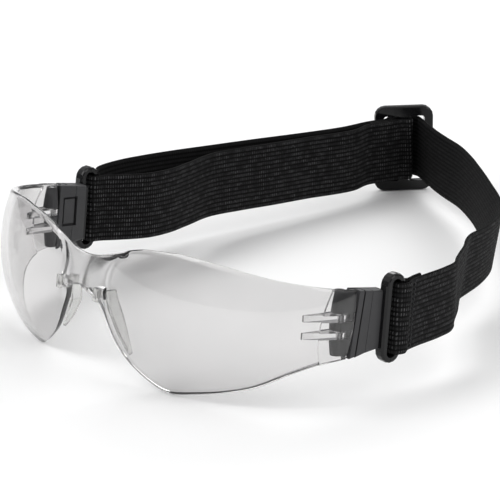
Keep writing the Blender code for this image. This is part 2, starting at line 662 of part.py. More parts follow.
def elastic_route(floor):
    """The whole elastic as one plan line, from its left sewn end to its end on the slider.

    Returns the points and the index of each place where one length of elastic ends.
    """
    bar = SLIDER_T / 2
    h = bar + BAR_CLEAR
    near = SLIDER_MID_BAR / 2 + SLIDER_SLOT
    left_bar = ring_plan(1, RING_OUT_X - RING_T / 2, (BAR_FRONT_Y + BAR_BACK_Y) / 2, floor)
    right_bar = (-left_bar[0], left_bar[1])
    points, splits = [], {}

    def add(new, split=None):
        points.extend(new)
        if split:
            splits[split] = len(points) - 1

    def offsets(base, run):
        return [(base[0] + dx, base[1] + dy) for dx, dy in run]

    add([ring_plan(1, RING_OUT_X + dx, BAR_BACK_Y + dy, floor) for dx, dy in LOOP_TAIL])
    add(list(reversed(ring_wrap(1, floor))))
    add([ring_plan(1, RING_OUT_X + dx, BAR_BACK_Y + dy, floor) for dx, dy in LOOP_OUT])
    add(offsets(left_bar, LEFT_RUN[:1]), "left_loop")
    add(offsets(left_bar, LEFT_RUN[1:6]), "left_side")
    add(offsets(left_bar, LEFT_RUN[6:]))
    add(offsets(SLIDER_AT, BACK_RUN[:3]), "back")
    add(offsets(SLIDER_AT, BACK_RUN[3:]))
    # through the slider: rear slot, outside of the middle bar, front slot
    turn = [(-near + 0.2, 10.3), (-near + 0.75, 4.6), (-near + 1.2, 1.6)]
    add([slider_plan(*turn[0])], "slider_side")
    add([slider_plan(p, q) for p, q in turn[1:]])
    low = -h - LAYER
    add([slider_plan(p, q) for p, q in (
        (-near + 1.7, -0.8), (-near + 2.8, low + 1.4), (-near + 4.7, low + 0.2), (0, low),
        (near - 4.7, low + 0.1), (near - 2.9, low + 1.3), (near - 1.9, -0.9), (near - 1.35, 0.7),
        (near - 0.6, 2.0), (near + 0.9, 3.15))])
    add([slider_plan(near + 4.5, 5.3)], "slider_turn")
    add(offsets(SLIDER_AT, OUTER_RUN[:2]), "outer_rear")
    add(offsets(SLIDER_AT, OUTER_RUN[2:]))
    add(offsets(right_bar, OUTER_RING_RUN[:2]), "outer_middle")
    add(offsets(right_bar, OUTER_RING_RUN[2:]), "outer_front")
    add(ring_wrap(-1, floor))
    add(offsets(right_bar, INNER_RING_RUN[:1]), "right_loop")
    add(offsets(right_bar, INNER_RING_RUN[1:4]), "inner_front")
    add(offsets(right_bar, INNER_RING_RUN[4:]))
    add(offsets(SLIDER_AT, INNER_RUN[:3]), "inner_middle")
    add(offsets(SLIDER_AT, INNER_RUN[3:]))
    # round the middle bar and back onto itself
    b, c, k = SLIDER_MID_BAR / 2, BAR_CLEAR, BAR_CLEAR * 0.71
    add([slider_plan(near + 5.8, 9.8)], "inner_rear")
    add([slider_plan(p, q) for p, q in ((near + 1.3, 7.0), (near - 1.7, 5.0), (near - 3.5, 3.8), (b + 0.4, h + 0.5),
                                        (0, h), (-b, bar + c), (-b - k, bar + k), (-b - c, bar), (-b - c, -bar),
                                        (-b - k, -bar - k), (-b, -bar - c), (0, -h), (b + 0.1, -h + 0.2))])
    add([slider_plan(p, q) for p, q in ((near - 4.1, -1.0), (near - 3.2, 0.6), (near - 2.2, 2.3),
                                        (near - 0.9, 3.75), (near + 0.7, 4.9), (near + 3.3, 6.55),
                                        (near + 5.6, 8.0))], "end_loop")
    return points, splits


def smooth_line(points):
    """A Catmull-Rom line through the points, with the index in it of each of them."""
    ends = [Vector(p) for p in points]
    ends = [2 * ends[0] - ends[1]] + ends + [2 * ends[-1] - ends[-2]]
    line, index = [], []
    for a, b, c, d in zip(ends, ends[1:], ends[2:], ends[3:]):
        # tangents weighted by the spacing, so that a short span next to a long one doesn't loop
        span = max((c - b).length, 1e-6)
        before, after = max((b - a).length, 1e-6), max((d - c).length, 1e-6)
        m0 = ((b - a) / before * span + (c - b) / span * before) / (span + before) * span
        m1 = ((c - b) / span * after + (d - c) / after * span) / (span + after) * span
        index.append(len(line))
        steps = max(1, math.ceil(span / STRAP_STEP), math.ceil(m0.angle(m1) / math.radians(24)))
        for i in range(steps):
            u = i / steps
            line.append(b * ((1 + 2 * u) * (1 - u) ** 2) + m0 * (u * (1 - u) ** 2)
                        + c * (u * u * (3 - 2 * u)) + m1 * (u * u * (u - 1)))
    index.append(len(line))
    line.append(ends[-2])
    return line, index


def strap_heights(floor):
    """Height of the elastic's middle over the table, and its lean, as functions of table Y."""
    _, y_ring, z_ring = to_table((0, BAR_BACK_Y, RING_MID_Z), floor)
    y_end, z_end = SLIDER_AT[1], SLIDER_HEIGHT / 2
    fall = math.tan(TILT)
    slope = (z_end - z_ring) / (y_end - y_ring)

    def height(y):
        return z_ring + (slope if y > y_ring else -fall) * (min(y, y_end) - y_ring)

    def upward(y):
        lean = TILT * max(0.0, min(1.0, 1 - (y - y_ring) / (y_end - y_ring)))
        return Vector((0, math.sin(lean), math.cos(lean)))
    return height, upward


# How the single layer leans outwards at the top, and lifts, at table Y past the left ring
LEAN_RUN = (0.63, 0.78)
LEAN = [(20, 0.0), (36, 0.09), (50, 0.18), (68, 0.16), (84, 0.06), (100, 0.0)]
LIFT = [(70, 0.0), (100, 0.9), (122, 0.3), (132, 0.0)]


def make_elastic(frame, floor, knit):
    points, splits = elastic_route(floor)
    line, index = smooth_line(points)
    height, upward = strap_heights(floor)
    sides = []
    for i, p in enumerate(line):
        run = (line[min(i + 1, len(line) - 1)] - line[max(i - 1, 0)]).normalized()
        sides.append(Vector((-run.y, run.x)))
    start = 0
    for name, split in splits.items():
        stop = index[split]
        stations = [(line[i], sides[i]) for i in range(start, stop + 1)]
        trim = SPLIT_GAP / 2
        if start > 0:
            stations[0] = shortened(stations[0], stations[1], trim)
        if stop < len(line) - 1:
            stations[-1] = shortened(stations[-1], stations[-2], trim)
        loops = []
        for p, out in stations:
            middle = Vector((p.x, p.y, height(p.y)))
            rise = upward(p.y)
            if name in ("left_side", "back", "slider_side"):
                past = p.y - line[index[splits["left_loop"]]].y
                lean = through(LEAN, past)
                rise = (rise + Vector((LEAN_RUN[0] * lean, LEAN_RUN[1] * lean, 0))).normalized()
                middle.z += through(LIFT, past)
            rise *= STRAP_W / 2
            across = Vector((out.x, out.y, 0)) * (STRAP_T / 2)
            loops.append([middle + across + rise, middle - across + rise, middle - across - rise,
                          middle + across - rise])
        obj = solid(f"elastic_{name}", loops, knit, frame)
        shade(obj)
        start = stop


def shortened(station, neighbour, trim):
    """A station moved towards its neighbour by the trim."""
    step = neighbour[0] - station[0]
    return station[0] + step.normalized() * trim, station[1]


# ---------------------------------------------------------------- assembly
def stand_at_origin(root):
    """Moves the whole object so that the middle of its footprint is at the origin."""
    bpy.context.view_layer.update()
    corners = []
    for obj in bpy.data.objects:
        if obj.type == "MESH" and not obj.hide_render:
            corners += [obj.matrix_world @ v.co for v in obj.data.vertices]
    low = [min(c[k] for c in corners) for k in range(3)]
    high = [max(c[k] for c in corners) for k in range(3)]
    root.location = (-(low[0] + high[0]) / 2, -(low[1] + high[1]) / 2, -low[2])


def main():
    clear_scene()
    clear = material("clear_polycarbonate", (0.80, 0.80, 0.79), 0.03, 0.35, 0.9)
    soft = material("clear_soft_vinyl", (0.80, 0.80, 0.78), 0.25, 0.5, 0.8)
    matte = material("black_textured_nylon", DARK_GREY, 0.55)
    gloss = material("black_gloss_plastic", BLACK, 0.22)
    knit = material("black_knit_elastic", BLACK, 0.85)
    steel = material("hinge_pin_steel", (0.55, 0.55, 0.56), 0.3)
    steel.node_tree.nodes["Principled BSDF"].inputs["Metallic"].default_value = 1.0

    root = empty("goggles")
    front = empty("front_frame", root)
    floor = make_lens(front, clear)
    front.rotation_euler = (-TILT, 0, 0)
    front.location = (0, 0, -floor * MM)
    for side, word in ((1, "left"), (-1, "right")):
        make_pad(side, word, front, soft)
        make_pin(side, word, front, steel)
        make_hinge_block(side, word, front, matte)
        make_adapter(side, word, front, matte)
    make_slider(root, gloss)
    make_elastic(root, floor, knit)
    stand_at_origin(root)


main()
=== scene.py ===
"""Clear wraparound safety goggles with a black elastic head strap: the looks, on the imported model."""

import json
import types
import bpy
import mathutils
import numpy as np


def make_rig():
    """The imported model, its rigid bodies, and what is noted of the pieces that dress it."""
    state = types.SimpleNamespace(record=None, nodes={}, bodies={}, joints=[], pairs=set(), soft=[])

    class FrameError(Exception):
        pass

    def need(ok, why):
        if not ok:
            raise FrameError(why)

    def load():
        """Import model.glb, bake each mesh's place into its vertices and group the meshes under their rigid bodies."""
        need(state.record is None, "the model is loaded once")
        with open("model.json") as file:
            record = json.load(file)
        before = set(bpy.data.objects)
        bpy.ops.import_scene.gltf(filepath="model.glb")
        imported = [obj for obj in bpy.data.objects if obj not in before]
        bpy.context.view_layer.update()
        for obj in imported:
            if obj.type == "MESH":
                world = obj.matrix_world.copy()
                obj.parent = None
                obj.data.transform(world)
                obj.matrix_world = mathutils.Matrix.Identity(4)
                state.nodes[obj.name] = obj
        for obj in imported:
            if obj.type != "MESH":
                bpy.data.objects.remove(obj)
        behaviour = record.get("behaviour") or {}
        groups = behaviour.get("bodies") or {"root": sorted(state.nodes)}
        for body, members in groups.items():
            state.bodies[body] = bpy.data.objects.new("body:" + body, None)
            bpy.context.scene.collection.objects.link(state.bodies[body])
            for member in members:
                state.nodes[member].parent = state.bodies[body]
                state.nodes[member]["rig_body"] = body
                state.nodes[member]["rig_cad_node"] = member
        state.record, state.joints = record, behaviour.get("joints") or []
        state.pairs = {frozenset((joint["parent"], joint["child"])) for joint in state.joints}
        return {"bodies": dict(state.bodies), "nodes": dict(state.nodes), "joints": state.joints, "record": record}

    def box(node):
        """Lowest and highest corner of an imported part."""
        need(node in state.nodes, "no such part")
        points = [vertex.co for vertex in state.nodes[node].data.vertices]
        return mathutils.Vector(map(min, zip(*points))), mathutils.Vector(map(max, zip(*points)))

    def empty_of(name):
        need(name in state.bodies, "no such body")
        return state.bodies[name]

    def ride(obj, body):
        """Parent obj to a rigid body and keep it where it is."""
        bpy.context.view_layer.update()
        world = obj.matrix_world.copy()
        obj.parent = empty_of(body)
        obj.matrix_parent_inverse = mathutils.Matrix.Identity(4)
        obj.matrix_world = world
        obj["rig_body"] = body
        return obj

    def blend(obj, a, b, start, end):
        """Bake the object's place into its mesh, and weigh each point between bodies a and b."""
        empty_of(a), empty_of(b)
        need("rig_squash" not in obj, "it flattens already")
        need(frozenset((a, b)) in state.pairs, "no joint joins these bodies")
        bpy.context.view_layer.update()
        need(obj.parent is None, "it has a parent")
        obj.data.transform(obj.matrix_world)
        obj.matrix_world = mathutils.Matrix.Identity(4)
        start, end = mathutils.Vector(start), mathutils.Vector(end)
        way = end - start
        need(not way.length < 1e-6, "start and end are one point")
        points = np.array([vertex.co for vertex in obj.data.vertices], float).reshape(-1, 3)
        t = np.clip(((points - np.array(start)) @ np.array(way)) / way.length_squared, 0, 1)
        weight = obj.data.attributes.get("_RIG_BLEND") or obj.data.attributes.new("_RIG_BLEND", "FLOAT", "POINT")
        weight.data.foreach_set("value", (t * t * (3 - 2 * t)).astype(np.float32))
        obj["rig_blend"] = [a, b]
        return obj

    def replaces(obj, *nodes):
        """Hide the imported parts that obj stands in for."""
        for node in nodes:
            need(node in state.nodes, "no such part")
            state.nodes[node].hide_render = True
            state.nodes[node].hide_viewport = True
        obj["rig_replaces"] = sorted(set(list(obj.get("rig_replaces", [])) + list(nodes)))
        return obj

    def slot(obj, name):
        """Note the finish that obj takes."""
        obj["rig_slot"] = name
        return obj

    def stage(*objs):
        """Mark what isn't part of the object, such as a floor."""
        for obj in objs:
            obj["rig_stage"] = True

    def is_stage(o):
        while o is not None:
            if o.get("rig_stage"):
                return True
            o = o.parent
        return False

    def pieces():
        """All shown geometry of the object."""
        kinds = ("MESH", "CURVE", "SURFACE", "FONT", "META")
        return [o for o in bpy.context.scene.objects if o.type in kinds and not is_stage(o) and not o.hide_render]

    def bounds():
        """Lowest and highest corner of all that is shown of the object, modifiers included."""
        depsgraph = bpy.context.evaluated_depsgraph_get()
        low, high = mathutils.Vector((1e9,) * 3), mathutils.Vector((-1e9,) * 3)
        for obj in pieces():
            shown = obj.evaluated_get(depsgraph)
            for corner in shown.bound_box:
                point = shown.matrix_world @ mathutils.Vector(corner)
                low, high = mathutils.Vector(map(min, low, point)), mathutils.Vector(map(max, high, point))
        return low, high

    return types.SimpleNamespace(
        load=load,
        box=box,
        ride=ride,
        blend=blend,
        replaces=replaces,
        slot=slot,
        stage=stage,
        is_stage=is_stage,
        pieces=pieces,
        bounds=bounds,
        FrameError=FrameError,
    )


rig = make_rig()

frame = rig.load()

import json
import math
import bmesh
import bpy
from mathutils import Matrix, Vector

CAD_BOX = [list(corner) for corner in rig.bounds()]
MM = 0.001

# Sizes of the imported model, in millimetres, in the goggles' own frame
HALF_WIDTH = 69.0          # centre line to the outside of the lens at the hinge
LOBE_FRONT_X = 19.3        # centre line to the foremost line of each lobe
LENS_DEPTH = 41.0          # foremost line to the lens end, front to back
LENS_END_ANGLE = 1.58      # how far round its plan curve the lens runs, in radians
LENS_END_SLANT = 0.046     # the end edge's lean, in radians of plan curve over SLANT_HEIGHT
SLANT_HEIGHT = 20.0
BULGE_RADIUS = 42.8        # radius of the lobes seen from the side
BULGE_HEIGHT = 27.0        # height of the foremost point of that bulge
LENS_T = 2.2
TOP_EDGE = [(0, 34.7), (5, 35.5), (10, 37.0), (14, 38.2), (18, 39.6), (23, 40.9), (30, 41.8),
            (37.3, 42.3), (49.6, 41.3), (60.9, 39.2), (67.3, 37.7), (69.0, 36.6)]
LOWER_EDGE = [(0, 25.6), (3.1, 25.0), (6.4, 22.9), (7.9, 20.4), (10.2, 16.1), (12.4, 12.3),
              (15.4, 8.6), (19.3, 5.4), (24, 2.8), (28.5, 1.1), (32.5, 0.8), (41.8, 2.6), (51, 4.9),
              (58.5, 7.9), (64.4, 12.7), (67.9, 16.0), (69.0, 17.4)]
# The bridge is a saddle let in between the lobes: at each height Z its half width, and how far its
# middle is set back from the lobes' own surface
CREASE_X = [(25.6, 10.6), (28.3, 9.8), (31, 10.0), (34.1, 11.5), (37, 14.4), (40, 18.6)]
BRIDGE_SET = [(18, 0.0), (20.4, -0.6), (23, -2.1), (25.6, -4.0), (34.7, -1.8), (37, 0.4), (38.2, 3.4),
              (40, 5.0)]
POCKET_ANGLE = 1.312       # plan angle where the hinge pocket in the inner wall begins
POCKET_CURVE = 0.077       # how far its front edge curves back, over POCKET_SPAN in height
POCKET_SPAN = 12.0
POCKET_MID_Z = 24.0
POCKET_REACH = 0.26        # plan angle over which the mesh follows that curve
POCKET_SKIN = 0.85         # lens wall left outside the pocket
LENS_COLUMNS = 120         # mesh columns in each half
LENS_ROWS = 34

# Hinge
PIN_X = HALF_WIDTH - 3.7
PIN_Y = LENS_DEPTH - 3.6
PIN_R = 0.7
FIT_GAP = 0.3              # clearance between neighbouring pieces
LUG_T = 1.8                # thickness of each clear lug
LUG_R = 2.3                # outside radius of a lug's eye
LUG_LOW_Z = 23.2           # underside of the lower lug
LUG_HIGH_Z = 28.0          # underside of the upper lug
LUG_FRONT_Y = LENS_DEPTH - 14.6  # where the lugs start as ribs on the lens wall
RIB_X = PIN_X - 2.4        # inner edge of the ribs at their front

TAB_X = 8.3                # the pads' tabs, which clip through slots in the lens
TAB_Z = 25.2
TAB_W = 1.5
TAB_H = 2.6
LENS_EDGE = 0.45           # rounding of the lens's rim
COLUMN_SPACE = 0.006       # no mesh column lies nearer to the pocket's front edge, as a plan angle
POCKET_STEP = 0.002        # plan angle over which the wall thins there
EYE_STEPS = 8              # flats round half an eye
HOLE_STEPS = 24            # flats round a pin hole
HOLE_ENDS = (LUG_LOW_Z - 2, LUG_HIGH_Z + 4)  # heights of the pin hole's cutter, past both lugs
SLOT_ENDS = (-3.0, 6.0)    # front and back of a tab slot's cutter, from the lens's outer face

# The side pieces' rings, the elastic and the slider
TILT = math.radians(5.95)
ARM_OUT_X = HALF_WIDTH
FLANGE_Y = LENS_DEPTH + 0.5
RING_Y = FLANGE_Y + 8.3
RING_OUT_X = ARM_OUT_X + 1.6
RING_T = 3.2
RING_LOW_Z = 15.3
RING_TOP_Z = 40.6
RING_BAR = 2.1
RING_SLOT = 2.6
STRAP_W = 20.0
STRAP_T = 1.2
STRAP_GAP = 0.35
SLIDER_LENGTH = 19.0
SLIDER_HEIGHT = 28.0
SLIDER_T = 2.6
SLIDER_END_BAR = 2.8
SLIDER_MID_BAR = 2.6
SLIDER_AT = (-81.0, 192.9)
SLIDER_YAW = math.radians(58.0)
SLIDER_RUN = Vector((math.cos(SLIDER_YAW), math.sin(SLIDER_YAW)))
SLIDER_SLOT = (SLIDER_LENGTH - 2 * SLIDER_END_BAR - SLIDER_MID_BAR) / 2
LAYER = STRAP_T + STRAP_GAP
BAR_CLEAR = STRAP_GAP + STRAP_T / 2
BAR_CORNER = BAR_CLEAR * 0.71  # the same clearance along each axis, halfway round a corner
RING_MID_Z = (RING_LOW_Z + RING_TOP_Z) / 2
BAR_FRONT_Y = RING_Y + RING_BAR + RING_SLOT
BAR_BACK_Y = BAR_FRONT_Y + RING_BAR
LENS_FLOOR = 0.0506    # height of the lens's lowest point in the goggles' own frame, tilted

# Detail of the elastic
STRAP_STEP = 1.2
RIBS = 15
RIB_DEPTH = 0.13
INNER_RIB_DEPTH = 0.06
RIB_POINTS = 4             # mesh points across one rib
SELVEDGE = 0.45            # share of the thickness left at the very edge of the band
STITCH_POINTS = 27         # corners of one zigzag row of stitches
STITCH_REACH = 0.93        # how far a row reaches towards the edges, of the half width
STITCH_PROUD = 0.02        # height of the thread's middle line over the band
THREAD_R = 0.17
TAIL_ROWS = (3, 5)         # rows of stitches on the left tail, in steps from its end
OUTER_ROW = 6              # and on the outer side, in steps back from the loop's end
END_ROWS = (3, 5)          # and at the slider, in steps back from the band's end

low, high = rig.box("slider")
ROOT = (low + high) / 2 / MM - Vector((*SLIDER_AT, SLIDER_HEIGHT / 2))


# ---------------------------------------------------------------- the elastic's route
def slider_plan(p, q):
    """Table plan of a slider point: p towards the front of the goggles, q towards the head."""
    x = SLIDER_AT[0] - p * SLIDER_RUN.x + q * SLIDER_RUN.y
    y = SLIDER_AT[1] - p * SLIDER_RUN.y - q * SLIDER_RUN.x
    return x, y


def to_table(p, floor):
    """A point of the goggles' frame in the table's frame."""
    c, s = math.cos(TILT), math.sin(TILT)
    return p[0], p[1] * c + p[2] * s, p[2] * c - p[1] * s - floor


def ring_plan(side, x, y, floor):
    """Table plan of a point beside a strap ring, at the ring's mid height."""
    px, py, _ = to_table((side * x, y, RING_MID_Z), floor)
    return px, py


def through(knots, x):
    """A smooth curve through the knots (x, value), read at x."""
    last = len(knots) - 1
    if x <= knots[0][0] or x >= knots[last][0]:
        return knots[0][1] if x <= knots[0][0] else knots[last][1]
    k = next((i for i in range(last) if x <= knots[i + 1][0]), last - 1)

    def slope(i):
        lower, upper = max(i - 1, 0), min(i + 1, last)
        return (knots[upper][1] - knots[lower][1]) / (knots[upper][0] - knots[lower][0])
    (x0, v0), (x1, v1) = knots[k], knots[k + 1]
    width = x1 - x0
    u = min((x - x0) / width, 1.0)
    return (v0 * (1 + 2 * u) * (1 - u) ** 2 + slope(k) * width * u * (1 - u) ** 2
            + v1 * u * u * (3 - 2 * u) + slope(k + 1) * width * u * u * (u - 1))


def ring_wrap(side, floor):
    """The elastic round a ring's rear bar, from the outer side through the slot to the inner side."""
    x_out, x_in = RING_OUT_X, RING_OUT_X - RING_T
    c, k = BAR_CLEAR, BAR_CORNER
    points = [(x_out + c, BAR_BACK_Y), (x_out + c, BAR_FRONT_Y), (x_out + k, BAR_FRONT_Y - k),
              (x_out, BAR_FRONT_Y - c), (x_in, BAR_FRONT_Y - c), (x_in - k, BAR_FRONT_Y - k),
              (x_in - c, BAR_FRONT_Y), (x_in - c, BAR_BACK_Y)]
    return [ring_plan(side, x, y, floor) for x, y in points]


# The elastic's run between its fastenings, as table plan offsets. Left run: from the left ring's
# rear bar. Back, outer and inner runs: from the slider. Ring runs: from the right ring's rear bar.
LEFT_RUN = [(-1.4, 9.5), (-4.5, 20.4), (-7.5, 27.4), (-12.2, 32.4), (-20.5, 42), (-29, 51.1),
            (-33, 59.1), (-37, 66.6)]
BACK_RUN = [(101.6, -53.4), (95.0, -47.6), (81.5, -38.0), (68.0, -28.9), (53.0, -19.4), (39.5, -12.0),
            (28.5, -7.6), (18.5, -3.2)]
OUTER_RUN = [(0.6, -25.9), (0.7, -45.4), (0.0, -63.4)]
OUTER_RING_RUN = [(-12.3, 53.1), (-12.5, 39.9), (-12, 28.1), (-10.7, 17.6), (-7.1, 7.1)]
INNER_RING_RUN = [(4.6, 7), (7, 16.4), (5.9, 24.6), (2, 34.9), (-3.7, 49.1)]
INNER_RUN = [(7.3, -73.0), (7.0, -60.0), (6.2, -46.4), (5.3, -25.0)]
# Left loop beside the ring's rear bar, in the goggles' frame: offsets from the bar's back face
LOOP_OUT = [(0.7, 0.9), (-0.3, 1.9), (-1.05, 3.1), (-2.2, 6.0)]
LOOP_TAIL = [(-5.2, 9.5), (-4.15, 6.2), (-3.15, 3.8), (-2.75, 2.6), (-3.4, 1.5)]


def elastic_route(floor):
    """The whole elastic as one plan line, from its left sewn end to its end on the slider.

    Returns the points and the index of each place where one length of elastic ends.
    """
    bar = SLIDER_T / 2
    h = bar + BAR_CLEAR
    near = SLIDER_MID_BAR / 2 + SLIDER_SLOT
    left_bar = ring_plan(1, RING_OUT_X - RING_T / 2, (BAR_FRONT_Y + BAR_BACK_Y) / 2, floor)
    right_bar = (-left_bar[0], left_bar[1])
    points, splits = [], {}

    def add(new, split=None):
        points.extend(new)
        if split:
            splits[split] = len(points) - 1

    def offsets(base, run):
        return [(base[0] + dx, base[1] + dy) for dx, dy in run]

    add([ring_plan(1, RING_OUT_X + dx, BAR_BACK_Y + dy, floor) for dx, dy in LOOP_TAIL])
    add(list(reversed(ring_wrap(1, floor))))
    add([ring_plan(1, RING_OUT_X + dx, BAR_BACK_Y + dy, floor) for dx, dy in LOOP_OUT])
    add(offsets(left_bar, LEFT_RUN[:1]), "left_loop")
    add(offsets(left_bar, LEFT_RUN[1:6]), "left_side")
    add(offsets(left_bar, LEFT_RUN[6:]))
    add(offsets(SLIDER_AT, BACK_RUN[:3]), "back")
    add(offsets(SLIDER_AT, BACK_RUN[3:]))
    # through the slider: rear slot, outside of the middle bar, front slot
    turn = [(-near + 0.2, 10.3), (-near + 0.75, 4.6), (-near + 1.2, 1.6)]
    add([slider_plan(*turn[0])], "slider_side")
    add([slider_plan(p, q) for p, q in turn[1:]])
    low = -h - LAYER
    add([slider_plan(p, q) for p, q in (
        (-near + 1.7, -0.8), (-near + 2.8, low + 1.4), (-near + 4.7, low + 0.2), (0, low),
        (near - 4.7, low + 0.1), (near - 2.9, low + 1.3), (near - 1.9, -0.9), (near - 1.35, 0.7),
        (near - 0.6, 2.0), (near + 0.9, 3.15))])
    add([slider_plan(near + 4.5, 5.3)], "slider_turn")
    add(offsets(SLIDER_AT, OUTER_RUN[:2]), "outer_rear")
    add(offsets(SLIDER_AT, OUTER_RUN[2:]))
    add(offsets(right_bar, OUTER_RING_RUN[:2]), "outer_middle")
    add(offsets(right_bar, OUTER_RING_RUN[2:]), "outer_front")
    add(ring_wrap(-1, floor))
    add(offsets(right_bar, INNER_RING_RUN[:1]), "right_loop")
    add(offsets(right_bar, INNER_RING_RUN[1:4]), "inner_front")
    add(offsets(right_bar, INNER_RING_RUN[4:]))
    add(offsets(SLIDER_AT, INNER_RUN[:3]), "inner_middle")
    add(offsets(SLIDER_AT, INNER_RUN[3:]))
    # round the middle bar and back onto itself
    b, c, k = SLIDER_MID_BAR / 2, BAR_CLEAR, BAR_CORNER
    add([slider_plan(near + 5.8, 9.8)], "inner_rear")
    add([slider_plan(p, q) for p, q in (
        (near + 1.3, 7.0), (near - 1.7, 5.0), (near - 3.5, 3.8), (b + 0.4, h + 0.5), (0, h),
        (-b, bar + c), (-b - k, bar + k), (-b - c, bar), (-b - c, -bar), (-b - k, -bar - k),
        (-b, -bar - c), (0, -h), (b + 0.1, -h + 0.2))])
    add([slider_plan(p, q) for p, q in (
        (near - 4.1, -1.0), (near - 3.2, 0.6), (near - 2.2, 2.3), (near - 0.9, 3.75),
        (near + 0.7, 4.9), (near + 3.3, 6.55), (near + 5.6, 8.0))], "end_loop")
    return points, splits


def smooth_line(points):
    """A Catmull-Rom line through the points, with the index in it of each of them."""
    ends = [Vector(p) for p in points]
    ends = [2 * ends[0] - ends[1]] + ends + [2 * ends[-1] - ends[-2]]
    line, index = [], []
    for a, b, c, d in zip(ends, ends[1:], ends[2:], ends[3:]):
        # tangents weighted by the spacing, so that a short span next to a long one doesn't loop
        span = max((c - b).length, 1e-6)
        before, after = max((b - a).length, 1e-6), max((d - c).length, 1e-6)
        m0 = ((b - a) / before * span + (c - b) / span * before) / (span + before) * span
        m1 = ((c - b) / span * after + (d - c) / after * span) / (span + after) * span
        index.append(len(line))
        steps = max(1, math.ceil(span / STRAP_STEP), math.ceil(m0.angle(m1) / math.radians(9)))
        for i in range(steps):
            u = i / steps
            line.append(b * ((1 + 2 * u) * (1 - u) ** 2) + m0 * (u * (1 - u) ** 2)
                        + c * (u * u * (3 - 2 * u)) + m1 * (u * u * (u - 1)))
    index.append(len(line))
    line.append(ends[-2])
    return line, index


def strap_heights(floor):
    """Height of the elastic's middle over the table, and its lean, as functions of table Y."""
    _, y_ring, z_ring = to_table((0, BAR_BACK_Y, RING_MID_Z), floor)
    y_end, z_end = SLIDER_AT[1], SLIDER_HEIGHT / 2
    fall = math.tan(TILT)
    slope = (z_end - z_ring) / (y_end - y_ring)

    def height(y):
        return z_ring + (slope if y > y_ring else -fall) * (min(y, y_end) - y_ring)

    def upward(y):
        lean = TILT * max(0.0, min(1.0, 1 - (y - y_ring) / (y_end - y_ring)))
        return Vector((0, math.sin(lean), math.cos(lean)))
    return height, upward


# How the single layer leans outwards at the top, and lifts, at table Y past the left ring
LEAN_RUN = (0.63, 0.78)
LEAN = [(20, 0.0), (36, 0.09), (50, 0.18), (68, 0.16), (84, 0.06), (100, 0.0)]
LIFT = [(70, 0.0), (100, 0.9), (122, 0.3), (132, 0.0)]
LEANING = ("left_side", "back", "slider_side")  # the lengths of the single layer


# ---------------------------------------------------------------- node helpers
def node(tree, kind, inputs=None, **settings):
    """Adds a shader node, sets its properties and links or sets its inputs."""
    made = tree.nodes.new(kind)
    for key, value in settings.items():
        setattr(made, key, value)
    for key, value in (inputs or {}).items():
        if isinstance(value, bpy.types.NodeSocket):
            tree.links.new(value, made.inputs[key])
        else:
            made.inputs[key].default_value = value
    return made


def calc(tree, operation, a, b=0.0, c=0.0):
    return node(tree, "ShaderNodeMath", {0: a, 1: b, 2: c}, operation=operation).outputs[0]


def span(tree, value, low, high, to_low=0.0, to_high=1.0):
    """Value from low to high, smoothly mapped to another span."""
    made = node(tree, "ShaderNodeMapRange", {"Value": value, "From Min": low, "From Max": high,
                                             "To Min": to_low, "To Max": to_high},
                interpolation_type="SMOOTHSTEP")
    return made.outputs["Result"]


def ramp(tree, value, low, high):
    """A colour between two greys or tints, by a value from 0 to 1."""
    made = node(tree, "ShaderNodeMix", {0: value}, data_type="RGBA")
    made.inputs[6].default_value = (*low, 1)
    made.inputs[7].default_value = (*high, 1)
    return made.outputs[2]


def noise(tree, place, scale, detail=3.0, rough=0.5):
    made = node(tree, "ShaderNodeTexNoise", {"Vector": place, "Scale": scale, "Detail": detail,
                                             "Roughness": rough})
    return made.outputs["Fac"]


def point_of(tree, x, y):
    return node(tree, "ShaderNodeCombineXYZ", {0: x, 1: y}).outputs[0]


def mix_colour(tree, value, plain, tint):
    """A linked colour turning to a fixed tint as the value goes to 1."""
    made = node(tree, "ShaderNodeMix", {0: value, 6: plain, 7: (*tint, 1)}, data_type="RGBA")
    return made.outputs[2]


def new_material(name, **fixed):
    mat = bpy.data.materials.new(name)
    mat.use_nodes = True
    tree = mat.node_tree
    shader = tree.nodes["Principled BSDF"]
    for key, value in fixed.items():
        shader.inputs[key.replace("_", " ")].default_value = value
    place = node(tree, "ShaderNodeTexCoord").outputs["Object"]
    return mat, tree, shader, place


def bump(tree, shader, height, distance, strength=1.0):
    made = node(tree, "ShaderNodeBump", {"Height": height, "Distance": distance, "Strength": strength})
    tree.links.new(made.outputs["Normal"], shader.inputs["Normal"])


# ---------------------------------------------------------------- materials
BRIDGE_HAZE = (0.006, 0.014)  # metres either side of the middle over which the haze fades out
BRIDGE_ROUGHNESS = 0.16


def polycarbonate():
    """Clear, with a light grey cast and a faint haze; both are matched."""
    mat, tree, shader, place = new_material(
        "clear_polycarbonate_look", Transmission_Weight=1.0, IOR=1.5, Specular_IOR_Level=0.5)
    cloud = noise(tree, place, 45.0, 4.0)
    fine = noise(tree, place, 900.0, 2.0)
    tree.links.new(ramp(tree, span(tree, cloud, 0.35, 0.7), (0.71, 0.705, 0.705), (0.75, 0.74, 0.74)),
                   shader.inputs["Base Color"])
    haze = calc(tree, "MULTIPLY_ADD", cloud, 0.02, 0.002)
    # a soft haze at the bridge, matched
    x = node(tree, "ShaderNodeSeparateXYZ", {0: place}).outputs[0]
    off = calc(tree, "ABSOLUTE", calc(tree, "SUBTRACT", x, ROOT.x * MM))
    haze = calc(tree, "ADD", haze, span(tree, off, *BRIDGE_HAZE, BRIDGE_ROUGHNESS, 0.0))
    tree.links.new(calc(tree, "MULTIPLY_ADD", fine, 0.008, haze), shader.inputs["Roughness"])
    return mat


